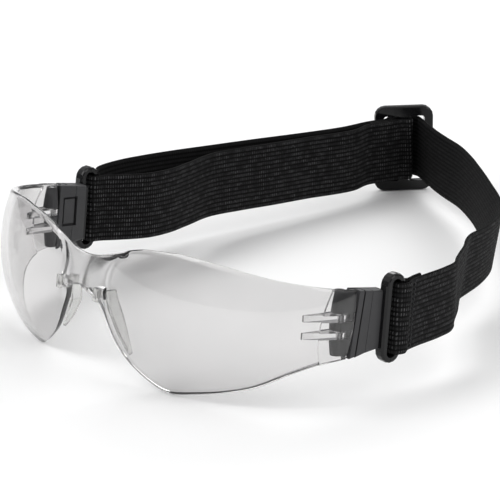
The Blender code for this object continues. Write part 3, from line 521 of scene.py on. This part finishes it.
def soft_vinyl():
    mat, tree, shader, place = new_material(
        "clear_soft_vinyl_look", Transmission_Weight=0.94, IOR=1.45, Specular_IOR_Level=0.5)
    cloud = noise(tree, place, 300.0, 3.0)
    tree.links.new(ramp(tree, cloud, (0.80, 0.80, 0.79), (0.88, 0.88, 0.86)),
                   shader.inputs["Base Color"])
    tree.links.new(span(tree, cloud, 0.2, 0.8, 0.10, 0.22), shader.inputs["Roughness"])
    bump(tree, shader, noise(tree, place, 1500.0), 0.00002, 0.4)
    return mat


def nylon():
    """Moulded nylon: a fine spark texture on the side pieces, turning to gloss on the strap ring."""
    mat, tree, shader, place = new_material("black_textured_nylon_look", Specular_IOR_Level=0.3)
    axes = node(tree, "ShaderNodeSeparateXYZ", {0: place}).outputs
    c, s = math.cos(TILT), math.sin(TILT)
    depth = calc(tree, "SUBTRACT", calc(tree, "MULTIPLY", axes[1], c),
                 calc(tree, "MULTIPLY", axes[2], s))
    ring_front = (ROOT.y * c + RING_Y - LENS_FLOOR * s) * MM
    ring = span(tree, depth, ring_front - 0.0002, ring_front + 0.00005)
    grain = noise(tree, place, 2600.0, 2.0, 0.6)
    cloud = noise(tree, place, 160.0, 3.0)
    matte = ramp(tree, cloud, (0.038, 0.038, 0.040), (0.050, 0.050, 0.052))
    tree.links.new(mix_colour(tree, ring, matte, (0.004, 0.004, 0.0045)), shader.inputs["Base Color"])
    rough = calc(tree, "MULTIPLY_ADD", grain, 0.12, 0.42)
    gloss = calc(tree, "MULTIPLY_ADD", cloud, 0.10, 0.07)
    tree.links.new(node(tree, "ShaderNodeMix", {0: ring, 2: rough, 3: gloss}).outputs[0],
                   shader.inputs["Roughness"])
    height = calc(tree, "MULTIPLY", grain, span(tree, ring, 0, 1, 1.0, 0.06))
    bump(tree, shader, height, 0.00006, 0.6)
    return mat


def gloss_plastic():
    mat, tree, shader, place = new_material("black_gloss_plastic_look", Specular_IOR_Level=0.3)
    cloud = noise(tree, place, 120.0, 4.0)
    tree.links.new(ramp(tree, cloud, (0.003, 0.003, 0.0033), (0.006, 0.006, 0.0065)),
                   shader.inputs["Base Color"])
    tree.links.new(calc(tree, "MULTIPLY_ADD", cloud, 0.12, 0.06), shader.inputs["Roughness"])
    bump(tree, shader, noise(tree, place, 420.0, 2.0), 0.00002, 0.5)
    return mat


def pin_steel():
    mat, tree, shader, place = new_material("hinge_pin_steel_look", Metallic=1.0)
    drawn = node(tree, "ShaderNodeMapping", {0: place, 3: (1, 1, 0.05)}).outputs[0]
    streaks = noise(tree, drawn, 3000.0)
    tree.links.new(ramp(tree, streaks, (0.42, 0.42, 0.43), (0.62, 0.62, 0.63)),
                   shader.inputs["Base Color"])
    tree.links.new(span(tree, streaks, 0.2, 0.8, 0.22, 0.4), shader.inputs["Roughness"])
    return mat


def knit():
    """Ribbed knitted elastic. The weave attribute holds the rib number across the band, the length
    along it in millimetres, and 1 on the outer face or 0 on the plainer inner one."""
    mat, tree, shader, place = new_material("black_knit_elastic_look", Specular_IOR_Level=0.12)
    weave = node(tree, "ShaderNodeAttribute", attribute_name="weave").outputs["Vector"]
    across, along, face = node(tree, "ShaderNodeSeparateXYZ", {0: weave}).outputs
    row = calc(tree, "FLOOR", across)
    # small light cross stitches over each rib, nearly in line from rib to rib
    place_in_rib = calc(tree, "FRACT", calc(tree, "ADD", across, 0.5))
    valley = calc(tree, "ABSOLUTE", calc(tree, "SUBTRACT", place_in_rib, 0.5))
    shift = calc(tree, "MULTIPLY", row, 0.06)
    beat = calc(tree, "FRACT", calc(tree, "ADD", calc(tree, "MULTIPLY", along, 1.3), shift))
    dash = calc(tree, "MULTIPLY", span(tree, valley, 0.08, 0.28),
                span(tree, calc(tree, "ABSOLUTE", calc(tree, "SUBTRACT", beat, 0.5)), 0.24, 0.10))
    patchy = noise(tree, point_of(tree, row, calc(tree, "MULTIPLY", along, 0.25)), 1.3, 2.0)
    uneven = noise(tree, point_of(tree, across, calc(tree, "MULTIPLY", along, 2.4)), 1.7, 3.0, 0.7)
    worn = calc(tree, "MULTIPLY", span(tree, patchy, 0.35, 0.65, 0.12, 1.0), span(tree, uneven, 0.38, 0.60))
    fleck = calc(tree, "MULTIPLY", dash, worn)
    fleck = calc(tree, "MULTIPLY", fleck, span(tree, face, 0.0, 1.0, 0.15, 1.0))
    # fine loops of the knit on the ribs, in the bump
    loops = calc(tree, "SINE", calc(tree, "ADD", calc(tree, "MULTIPLY", along, 2 * math.pi * 1.45),
                                    calc(tree, "MULTIPLY", across, math.pi)))
    fuzz = noise(tree, place, 2300.0, 3.0, 0.65)
    # the base colour is painted shade: darkest in the grooves between the ribs, lighter on the crests, broken up by
    # the fuzz noise
    groove_shade_and_fuzz = calc(tree, "MULTIPLY", span(tree, valley, 0.05, 0.40),
                 calc(tree, "MULTIPLY_ADD", fuzz, 0.8, 0.2))
    base = ramp(tree, groove_shade_and_fuzz, (0.001, 0.001, 0.0011), (0.013, 0.013, 0.0135))
    tree.links.new(mix_colour(tree, fleck, base, (0.105, 0.105, 0.108)), shader.inputs["Base Color"])
    tree.links.new(span(tree, fuzz, 0.2, 0.8, 0.72, 0.95), shader.inputs["Roughness"])
    height = calc(tree, "ADD", calc(tree, "MULTIPLY", loops, 0.35), calc(tree, "MULTIPLY", fuzz, 0.5))
    bump(tree, shader, calc(tree, "ADD", height, calc(tree, "MULTIPLY", dash, 0.6)), 0.00009, 0.8)
    return mat


def thread():
    mat, tree, shader, place = new_material("sewing_thread_look", Specular_IOR_Level=0.3)
    twist = noise(tree, place, 4200.0, 2.0)
    tree.links.new(ramp(tree, twist, (0.012, 0.012, 0.013), (0.05, 0.05, 0.053)),
                   shader.inputs["Base Color"])
    tree.links.new(span(tree, twist, 0.2, 0.8, 0.5, 0.75), shader.inputs["Roughness"])
    bump(tree, shader, twist, 0.00004)
    return mat


# ---------------------------------------------------------------- the elastic
def route_stations():
    """Plan point and sideways direction at every step of the elastic, and where each length ends."""
    points, splits = elastic_route(LENS_FLOOR)
    line, index = smooth_line(points)
    sides = []
    for i in range(len(line)):
        run = (line[min(i + 1, len(line) - 1)] - line[max(i - 1, 0)]).normalized()
        sides.append(Vector((-run.y, run.x)))
    return line, sides, {name: index[k] for name, k in splits.items()}


def strap_profile():
    """Cross-section of the elastic: (place across the width from -1 to 1, half thickness factor on
    the face, rib coordinate, face) round the section, with soft edges and ribs on both faces."""
    count = RIBS * RIB_POINTS
    section = []
    for face, depth in ((1.0, RIB_DEPTH), (0.0, INNER_RIB_DEPTH)):
        row = []
        for i in range(count + 1):
            u = i / count
            across = 2 * u - 1
            groove = 0.5 + 0.5 * math.cos(2 * math.pi * u * RIBS)
            edge = min(1.0, (1 - abs(across)) * RIBS * 0.9)
            full = SELVEDGE + (1 - SELVEDGE) * math.sin(edge * math.pi / 2)
            half = (STRAP_T / 2 - depth * groove) * full
            row.append((across, half if face else -half, u * RIBS, face))
        section += row if face else reversed(row)
    return section


def height_at(point, leaning, height, upward, left_end):
    """Middle and half width direction of the elastic at a plan point."""
    middle = Vector((point.x, point.y, height(point.y)))
    rise = upward(point.y)
    if leaning:
        past = point.y - left_end
        lean = through(LEAN, past)
        rise = (rise + Vector((LEAN_RUN[0] * lean, LEAN_RUN[1] * lean, 0))).normalized()
        middle.z += through(LIFT, past)
    return middle, rise * (STRAP_W / 2)


def make_straps(mat):
    line, sides, stops = route_stations()
    height, upward = strap_heights(LENS_FLOOR)
    left_end = line[stops["left_loop"]].y
    section = strap_profile()
    travelled = [0.0]
    for a, b in zip(line, line[1:]):
        travelled.append(travelled[-1] + (b - a).length)
    straps, start = {}, 0
    for name, stop in stops.items():
        points, weave = [], []
        for i in range(start, stop + 1):
            middle, rise = height_at(line[i], name in LEANING, height, upward, left_end)
            out = Vector((-sides[i].x, -sides[i].y, 0))
            for across, half, rib, face in section:
                points.append((middle + rise * across + out * half + ROOT) * MM)
                weave.append((rib, travelled[i], face))
        count = len(section)
        faces = []
        for k in range(stop - start):
            for j in range(count):
                a, b = k * count + j, k * count + (j + 1) % count
                faces.append((a, b, b + count, a + count))
        faces.append(tuple(reversed(range(count))))
        faces.append(tuple(range((stop - start) * count, (stop - start + 1) * count)))
        straps[name] = strap_object(f"strap_{name}", points, faces, weave, mat)
        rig.replaces(straps[name], f"elastic_{name}")
        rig.slot(straps[name], "black_knit_elastic")
        start = stop
    return straps, line, sides, stops


def strap_object(name, points, faces, weave, mat):
    mesh = bpy.data.meshes.new(name)
    mesh.from_pydata(points, [], faces)
    mesh.materials.append(mat)
    layer = mesh.attributes.new("weave", "FLOAT_VECTOR", "POINT")
    layer.data.foreach_set("vector", [value for row in weave for value in row])
    mesh.validate()
    mesh.shade_smooth()
    mesh.set_sharp_from_angle(angle=math.radians(60))
    obj = bpy.data.objects.new(name, mesh)
    bpy.context.scene.collection.objects.link(obj)
    return obj


def tube(name, points, radius, mat):
    """A closed thread through the points."""
    curve = bpy.data.curves.new(name, "CURVE")
    curve.dimensions = "3D"
    curve.bevel_depth = radius
    curve.bevel_resolution = 2
    curve.use_fill_caps = True
    spline = curve.splines.new("POLY")
    spline.points.add(len(points) - 1)
    for target, p in zip(spline.points, points):
        target.co = (*p, 1)
    obj = bpy.data.objects.new(name, curve)
    bpy.context.scene.collection.objects.link(obj)
    curve.materials.append(mat)
    return obj


def stitch_row(name, line, sides, at, outward, mat, body):
    """A zigzag of thread across the elastic at one station, on the face that outward points to."""
    height, upward = strap_heights(LENS_FLOOR)
    points = []
    for i in range(STITCH_POINTS):
        across = STITCH_REACH * (2 * i / (STITCH_POINTS - 1) - 1)
        k = at + (1 if i % 2 else 0)
        middle, rise = height_at(line[k], False, height, upward, 0.0)
        out = Vector((sides[k].x, sides[k].y, 0)) * outward
        points.append((middle + rise * across + out * (STRAP_T / 2 + STITCH_PROUD) + ROOT) * MM)
    row = tube(name, points, THREAD_R * MM, mat)
    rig.ride(row, body)
    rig.slot(row, "black_knit_elastic")


RIDES = {"left_loop": "left_arm", "back": "lens", "outer_middle": "lens", "inner_middle": "lens",
         "right_loop": "right_arm", "slider_turn": "slider", "end_loop": "slider"}
BLENDS = {"left_side": ("left_arm", "lens"), "slider_side": ("lens", "slider"),
          "outer_rear": ("slider", "lens"), "outer_front": ("lens", "right_arm"),
          "inner_front": ("right_arm", "lens"), "inner_rear": ("lens", "slider")}


def dress_elastic():
    straps, line, sides, stops = make_straps(knit())
    names = list(stops)
    for name, body in RIDES.items():
        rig.ride(straps[name], body)
    for name, (first, last) in BLENDS.items():
        begin = stops[names[names.index(name) - 1]]
        ends = [(Vector((*line[k], STRAP_W / 2)) + ROOT) * MM for k in (begin, stops[name])]
        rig.blend(straps[name], first, last, start=ends[0], end=ends[1])
    black = thread()
    for letter, at in zip("ab", TAIL_ROWS):
        stitch_row(f"stitch_left_tail_{letter}", line, sides, at, 1, black, "left_arm")
    stitch_row("stitch_left_outer", line, sides, stops["left_loop"] - OUTER_ROW, -1, black, "left_arm")
    for number, back in enumerate(END_ROWS):
        stitch_row(f"stitch_end_{number}", line, sides, len(line) - 1 - back, -1, black, "slider")


# ---------------------------------------------------------------- lens
PLAN_A = (HALF_WIDTH - LOBE_FRONT_X) / math.sin(LENS_END_ANGLE)
PLAN_B = LENS_DEPTH / (1 - math.cos(LENS_END_ANGLE))
CENTRE_ANGLE = -math.asin(LOBE_FRONT_X / PLAN_A)


def plan_angle(x):
    return math.asin(max(-1.0, min(1.0, (x - LOBE_FRONT_X) / PLAN_A)))


def plan_x(t):
    return LOBE_FRONT_X + PLAN_A * math.sin(t)


def edge_knots(edge):
    """An edge's knots (plan angle, height), its X values spread to the lens's real half width."""
    spread = HALF_WIDTH / edge[-1][0]
    knots = [(plan_angle(x * spread), z) for x, z in edge]
    knots[-1] = (LENS_END_ANGLE, edge[-1][1])
    return knots


TOP_KNOTS = edge_knots(TOP_EDGE)
LOWER_KNOTS = edge_knots(LOWER_EDGE)


def bulge(z):
    return BULGE_RADIUS - math.sqrt(BULGE_RADIUS ** 2 - (z - BULGE_HEIGHT) ** 2)


def outer_point(t, z):
    """A point of the outer face in the half at +X."""
    x, y = plan_x(t), PLAN_B * (1 - math.cos(t))
    if t > 0:
        nx, ny = math.sin(t) / PLAN_A, -math.cos(t) / PLAN_B
        length = math.hypot(nx, ny)
        return Vector((x - nx / length * bulge(z), y - ny / length * bulge(z), z))
    share = max(0.0, 1 - (x / through(CREASE_X, z)) ** 2)
    return Vector((x, y + bulge(z) + through(BRIDGE_SET, z) * share, z))


def column_angles():
    """Plan angle, wall and bend of the mesh columns in one half, crowding towards the nose."""
    angles = [POCKET_ANGLE - POCKET_STEP, POCKET_ANGLE]
    for k in range(LENS_COLUMNS + 1):
        part = k / LENS_COLUMNS
        t = CENTRE_ANGLE + (LENS_END_ANGLE - CENTRE_ANGLE) * (0.55 * part + 0.45 * part ** 2)
        if abs(t - POCKET_ANGLE) > COLUMN_SPACE:
            angles.append(t)
    return [(t, POCKET_SKIN if t >= POCKET_ANGLE else LENS_T,
             POCKET_CURVE * max(0.0, 1 - abs(t - POCKET_ANGLE) / POCKET_REACH)) for t in sorted(angles)]


def lens_column(side, t, curve):
    """Outer points of one mesh column, bottom to top."""
    share = (t - CENTRE_ANGLE) / (LENS_END_ANGLE - CENTRE_ANGLE)

    def bent(z):
        slant = LENS_END_SLANT * (z - TOP_EDGE[-1][1]) / SLANT_HEIGHT * share ** 12
        return slant + curve * ((z - POCKET_MID_Z) / POCKET_SPAN) ** 2
    low = through(LOWER_KNOTS, t + bent(through(LOWER_KNOTS, t)))
    high = through(TOP_KNOTS, t + bent(through(TOP_KNOTS, t)))
    column = []
    low, high = low + LENS_EDGE, high - LENS_EDGE
    for row in range(LENS_ROWS + 1):
        z = low + (high - low) * row / LENS_ROWS
        p = outer_point(t + bent(z), z)
        column.append(Vector((side * p.x, p.y, p.z)))
    return column


def inner_columns(columns, walls):
    """The inner face: the outer one moved in by the wall's thickness along its normals."""
    inner = []
    for i, column in enumerate(columns):
        before, after = columns[max(i - 1, 0)], columns[min(i + 1, len(columns) - 1)]
        if (after[0] - column[0]).length < 0.5 and i + 2 < len(columns):
            after = columns[i + 2]
        if (column[0] - before[0]).length < 0.5 and i > 1:
            before = columns[i - 2]
        moved = []
        for j, p in enumerate(column):
            across = after[j] - before[j]
            up = column[min(j + 1, LENS_ROWS)] - column[max(j - 1, 0)]
            moved.append(p - across.cross(up).normalized() * walls[i])
        inner.append(moved)
    return inner


def table_height(p):
    return p[2] * math.cos(TILT) - p[1] * math.sin(TILT)


def lug_outline(side):
    """Plan of a lug: a rib from the middle of the lens wall to an eye round the hinge pin."""
    z = (LUG_LOW_Z + LUG_HIGH_Z + LUG_T) / 2
    first = math.acos(1 - LUG_FRONT_Y / PLAN_B)
    last = math.acos(1 - PIN_Y / PLAN_B)
    wall = []
    for i in range(7):
        t = first + (last - first) * i / 6
        p = outer_point(t, z)
        nx, ny = math.sin(t) / PLAN_A, -math.cos(t) / PLAN_B
        length = math.hypot(nx, ny)
        inset = POCKET_SKIN / 2
        wall.append((p.x - nx / length * inset, p.y - ny / length * inset))
    turns = [math.pi * i / EYE_STEPS for i in range(EYE_STEPS + 1)]
    eye = [(PIN_X + LUG_R * math.cos(t), PIN_Y + LUG_R * math.sin(t)) for t in turns[1:]]
    return [(side * x, y) for x, y in wall + eye + [(RIB_X, LUG_FRONT_Y + 0.2)]]


# The rounded edge: share of the way from the outer face to the inner one, and share of the rise
RIM_SHAPE = ((0.08, 0.55), (0.25, 0.9), (0.5, 1.0), (0.75, 0.9), (0.92, 0.55))


def rim(outer, inner, rise):
    """Points over a rounded edge from the outer face to the inner one."""
    points = []
    for share, lift in RIM_SHAPE:
        p = outer.lerp(inner, share)
        points.append(Vector((p.x, p.y, p.z + rise * lift)))
    return points


def lens_loops():
    angles = column_angles()
    halves = [(-1, *a) for a in reversed(angles[1:])] + [(1, *a) for a in angles]
    columns = [lens_column(side, t, curve) for side, t, wall, curve in halves]
    inner = inner_columns(columns, [wall for side, t, wall, curve in halves])
    loops = []
    for front, back in zip(columns, inner):
        top = rim(front[-1], back[-1], LENS_EDGE)
        foot = rim(back[0], front[0], -LENS_EDGE)
        loops.append(front + top + list(reversed(back)) + foot)
    for loop in loops:
        for p in loop:
            p.z += max(0.0, LENS_FLOOR - table_height(p)) / math.cos(TILT)
    return loops


def tab_box(side, clearance, start, stop):
    y = outer_point(plan_angle(TAB_X), TAB_Z).y
    w, h = TAB_W / 2 + clearance, TAB_H / 2 + clearance
    return [[(side * x, y + d, z) for x, d in ((TAB_X - w, start), (TAB_X + w, start),
                                               (TAB_X + w, stop), (TAB_X - w, stop))]
            for z in (TAB_Z - h, TAB_Z + h)]


def goggles_solid(name, loops):
    """A closed skin over loops given in the goggles' frame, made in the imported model's frame."""
    count = len(loops[0])
    points = [(Vector(to_table(p, LENS_FLOOR)) + ROOT) * MM for loop in loops for p in loop]
    faces = [tuple(reversed(range(count))), tuple(range((len(loops) - 1) * count, len(loops) * count))]
    for k in range(len(loops) - 1):
        for i in range(count):
            a, b = k * count + i, k * count + (i + 1) % count
            faces.append((a, b, b + count, a + count))
    mesh = bpy.data.meshes.new(name)
    mesh.from_pydata(points, [], faces)
    work = bmesh.new()
    work.from_mesh(mesh)
    bmesh.ops.recalc_face_normals(work, faces=work.faces)
    work.to_mesh(mesh)
    work.free()
    obj = bpy.data.objects.new(name, mesh)
    bpy.context.scene.collection.objects.link(obj)
    return obj


def make_lens():
    lens = goggles_solid("lens_shell", lens_loops())
    cutters = []
    for side in (1, -1):
        for low in (LUG_LOW_Z, LUG_HIGH_Z):
            outline = lug_outline(side)
            cutters.append(("UNION", [[(x, y, z) for x, y in outline] for z in (low, low + LUG_T)]))
        turns = [2 * math.pi * i / HOLE_STEPS for i in range(HOLE_STEPS)]
        r = PIN_R + FIT_GAP
        cutters.append(("DIFFERENCE", [[(side * PIN_X + r * math.cos(t), PIN_Y + r * math.sin(t), z)
                                        for t in turns] for z in HOLE_ENDS]))
        cutters.append(("DIFFERENCE", tab_box(side, FIT_GAP, *SLOT_ENDS)))
    helpers = []
    for operation, loops in cutters:
        helper = goggles_solid("lens_tool", loops)
        step = lens.modifiers.new("tool", "BOOLEAN")
        step.operation = operation
        step.solver = "MANIFOLD"
        step.object = helper
        helpers.append(helper)
    view = bpy.context.evaluated_depsgraph_get()
    view.update()
    mesh = bpy.data.meshes.new_from_object(lens.evaluated_get(view))
    lens.modifiers.clear()
    lens.data = mesh
    for helper in helpers:
        bpy.data.objects.remove(helper, do_unlink=True)
    mesh.materials.clear()
    mesh.materials.append(polycarbonate())
    mesh.shade_smooth()
    mesh.set_sharp_from_angle(angle=math.radians(38))
    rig.replaces(lens, "lens")
    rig.ride(lens, "lens")
    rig.slot(lens, "clear_polycarbonate")


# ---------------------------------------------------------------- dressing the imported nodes
def dress_nodes():
    looks = {"nose_pad": soft_vinyl(), "hinge_pin": pin_steel(), "slider": gloss_plastic()}
    dark = nylon()
    looks["hinge_block"] = looks["strap_adapter"] = dark
    for name, obj in frame["nodes"].items():
        for start, mat in looks.items():
            if name.startswith(start):
                for holder in obj.material_slots:
                    holder.material = mat


# ---------------------------------------------------------------- camera, floor and light
CAMERA_AT = Vector((0.8205, -0.7013, 0.34382))
CAMERA_BACK = Vector((0.7414, -0.60437, 0.29184))
CAMERA_RIGHT = Vector((0.63241, 0.77464, -0.00248))
CAMERA_LENS = 276.2


def make_camera():
    data = bpy.data.cameras.new("camera")
    data.sensor_width = 36.0
    data.lens = CAMERA_LENS
    data.clip_start = 0.01
    camera = bpy.data.objects.new("camera", data)
    bpy.context.scene.collection.objects.link(camera)
    back = CAMERA_BACK.normalized()
    right = (CAMERA_RIGHT - back * CAMERA_RIGHT.dot(back)).normalized()
    turn = Matrix((right, back.cross(right), back)).transposed().to_4x4()
    camera.matrix_world = Matrix.Translation(CAMERA_AT) @ turn
    bpy.context.scene.camera = camera


def area_light(name, place, aim, size, power):
    data = bpy.data.lights.new(name, "AREA")
    data.shape = "RECTANGLE"
    data.size, data.size_y = size
    data.energy = power
    obj = bpy.data.objects.new(name, data)
    obj.location = place
    obj.rotation_mode = "QUATERNION"
    obj.rotation_quaternion = (Vector(aim) - Vector(place)).to_track_quat("-Z", "Y")
    bpy.context.scene.collection.objects.link(obj)


def make_studio():
    mesh = bpy.data.meshes.new("floor")
    r = 6.0
    mesh.from_pydata([(-r, -r, 0), (r, -r, 0), (r, r, 0), (-r, r, 0)], [], [(0, 1, 2, 3)])
    floor = bpy.data.objects.new("floor", mesh)
    floor.location.z = -0.0002
    mat, tree, shader, place = new_material("floor_look", Specular_IOR_Level=0.2)
    soft = noise(tree, place, 3.0, 2.0)
    tree.links.new(ramp(tree, soft, (0.90, 0.90, 0.90), (0.93, 0.93, 0.93)), shader.inputs["Base Color"])
    shader.inputs["Roughness"].default_value = 0.8
    mesh.materials.append(mat)
    bpy.context.scene.collection.objects.link(floor)
    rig.stage(floor)

    world = bpy.data.worlds.new("studio")
    world.use_nodes = True
    sky = world.node_tree
    direction = node(sky, "ShaderNodeTexCoord").outputs["Generated"]
    upward = node(sky, "ShaderNodeSeparateXYZ", {0: direction})
    glow = ramp(sky, span(sky, upward.outputs[2], -0.05, 0.75), (0.30, 0.30, 0.31), (1.0, 1.0, 1.0))
    sky.links.new(glow, sky.nodes["Background"].inputs["Color"])
    sky.nodes["Background"].inputs["Strength"].default_value = 0.85
    bpy.context.scene.world = world
    area_light("key", (-0.35, -0.75, 0.95), (0, 0, 0.02), (0.7, 0.7), 5.0)
    area_light("side", (0.95, 0.25, 0.6), (0, 0, 0.02), (0.5, 0.8), 2.5)
    area_light("back", (-0.6, 0.8, 0.7), (0, 0, 0.02), (0.8, 0.5), 3.5)
    bpy.context.scene.view_settings.view_transform = "Standard"
    bpy.context.scene.view_settings.look = "None"


def main():
    make_camera()
    make_studio()
    dress_nodes()
    make_lens()
    dress_elastic()
    bpy.context.view_layer.update()
    boxes = {"cad": CAD_BOX, "visual": [list(corner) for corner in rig.bounds()]}
    with open("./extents.json", "w") as f:
        json.dump(boxes, f, indent=1)


main()
